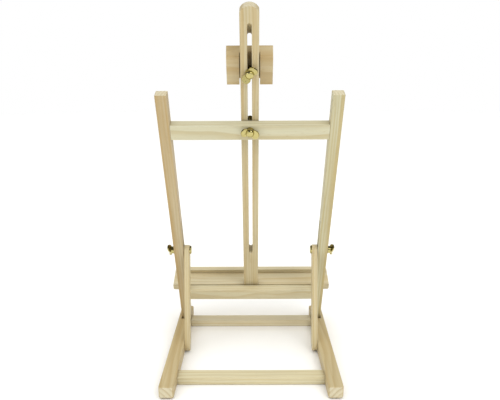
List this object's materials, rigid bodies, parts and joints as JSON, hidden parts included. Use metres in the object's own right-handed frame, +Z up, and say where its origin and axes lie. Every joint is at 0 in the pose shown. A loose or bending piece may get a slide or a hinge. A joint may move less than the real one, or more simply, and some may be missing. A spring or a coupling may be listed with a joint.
{
  "type": "tabletop easel",
  "caption": "Wooden H-frame tabletop easel: leaning frame with sliding mast, canvas ledge and top clamp, hinged on a base and held by slotted side braces with wing nuts.",
  "frame": {"origin": "on the table, under the middle of the easel's bounding box at rest", "axes": "+Z up; the painter sits on the -Y side, the easel leans back towards +Y; +X is the painter's right"},
  "size_m": [0.288, 0.2811, 0.5419],
  "materials": {
    "pine_base_rails": "bare sanded pine, satin, with straight grain, growth rings and a little colour variation",
    "pine_crossbars": "bare sanded pine, satin, with straight grain, growth rings and a little colour variation",
    "pine_posts": "bare sanded pine, satin, with straight grain, growth rings and a little colour variation",
    "pine_frame_rails": "bare sanded pine, satin, with straight grain, growth rings and a little colour variation",
    "pine_ledge": "bare sanded pine, satin, with straight grain, growth rings and a little colour variation",
    "pine_mast": "bare sanded pine, satin, with straight grain, growth rings and a little colour variation",
    "pine_clamp": "bare sanded pine, satin, with straight grain, growth rings and a little colour variation",
    "pine_braces": "bare sanded pine, satin, with straight grain, growth rings and a little colour variation",
    "beech_dowels": "bare turned beech",
    "brass_nuts": "brass-plated, polished, lightly tarnished",
    "brass_bolts": "brass-plated, polished",
    "brass_washers": "brass-plated, polished",
    "steel_screws": "zinc-plated, satin"
  },
  "bodies": {
    "base": {"base_rail_left": "pine_base_rails", "base_rail_right": "pine_base_rails", "front_crossbar": "pine_crossbars", "rear_crossbar": "pine_crossbars", "crossbar_dowels": "beech_dowels", "post_pivot_screws": "steel_screws", "brace_pivot_screws": "steel_screws"},
    "leaning_frame": {"post_left": "pine_posts", "post_right": "pine_posts", "upper_rail": "pine_frame_rails", "lower_rail": "pine_frame_rails", "frame_dowels": "beech_dowels", "ledge_spacer_left": "pine_ledge", "ledge_spacer_right": "pine_ledge", "ledge_back_strip_left": "pine_ledge", "ledge_back_strip_right": "pine_ledge", "ledge_shelf": "pine_ledge", "ledge_lip": "pine_ledge", "ledge_strip_screws": "steel_screws", "ledge_shelf_screws": "steel_screws", "mast_bolt": "brass_bolts", "mast_washer": "brass_washers"},
    "sliding_mast": {"mast": "pine_mast"},
    "sliding_clamp": {"clamp_block": "pine_clamp", "clamp_bolt": "brass_bolts", "clamp_washer": "brass_washers"},
    "left_brace": {"brace_left": "pine_braces", "brace_bolt_left": "brass_bolts", "brace_washer_left": "brass_washers"},
    "right_brace": {"brace_right": "pine_braces", "brace_bolt_right": "brass_bolts", "brace_washer_right": "brass_washers"},
    "mast_nut": {"mast_wing_nut": "brass_nuts"},
    "clamp_nut": {"clamp_wing_nut": "brass_nuts"},
    "left_brace_nut": {"brace_wing_nut_left": "brass_nuts"},
    "right_brace_nut": {"brace_wing_nut_right": "brass_nuts"}
  },
  "joints": [
    {"name": "easel_tilt", "type": "hinge", "parent": "base", "child": "leaning_frame", "pos_m": [0, -0.0934, 0.016], "axis": [-1, 0, 0], "range_deg": [-5, 30]},
    {"name": "left_brace_swing", "type": "hinge", "parent": "base", "child": "left_brace", "pos_m": [-0.1058, 0.0066, 0.011], "axis": [-1, 0, 0], "range_deg": [-7, 42]},
    {"name": "right_brace_swing", "type": "hinge", "parent": "base", "child": "right_brace", "pos_m": [0.1058, 0.0066, 0.011], "axis": [-1, 0, 0], "range_deg": [-7, 42]},
    {"name": "mast_slide", "type": "slide", "parent": "leaning_frame", "child": "sliding_mast", "axis": [0, 0.3963, 0.9181], "range_m": [-0.025, 0.2]},
    {"name": "clamp_slide", "type": "slide", "parent": "sliding_mast", "child": "sliding_clamp", "axis": [0, 0.3963, 0.9181], "range_m": [-0.025, 0.038]},
    {"name": "mast_nut_turn", "type": "hinge", "parent": "leaning_frame", "child": "mast_nut", "pos_m": [0, 0.07047, 0.37604], "axis": [0, 0.9181, -0.3963], "continuous": true},
    {"name": "clamp_nut_turn", "type": "hinge", "parent": "sliding_clamp", "child": "clamp_nut", "pos_m": [0, 0.08697, 0.45463], "axis": [0, 0.9181, -0.3963], "continuous": true},
    {"name": "left_brace_nut_turn", "type": "hinge", "parent": "left_brace", "child": "left_brace_nut", "pos_m": [-0.1275, -0.02765, 0.16831], "axis": [-1, 0, 0], "continuous": true},
    {"name": "right_brace_nut_turn", "type": "hinge", "parent": "right_brace", "child": "right_brace_nut", "pos_m": [0.1275, -0.02765, 0.16831], "axis": [1, 0, 0], "continuous": true}
  ],
  "couplings": [
    {"joint": "left_brace_swing", "follows": "easel_tilt", "ratio": 1.385},
    {"joint": "right_brace_swing", "follows": "easel_tilt", "ratio": 1.385}
  ]
}
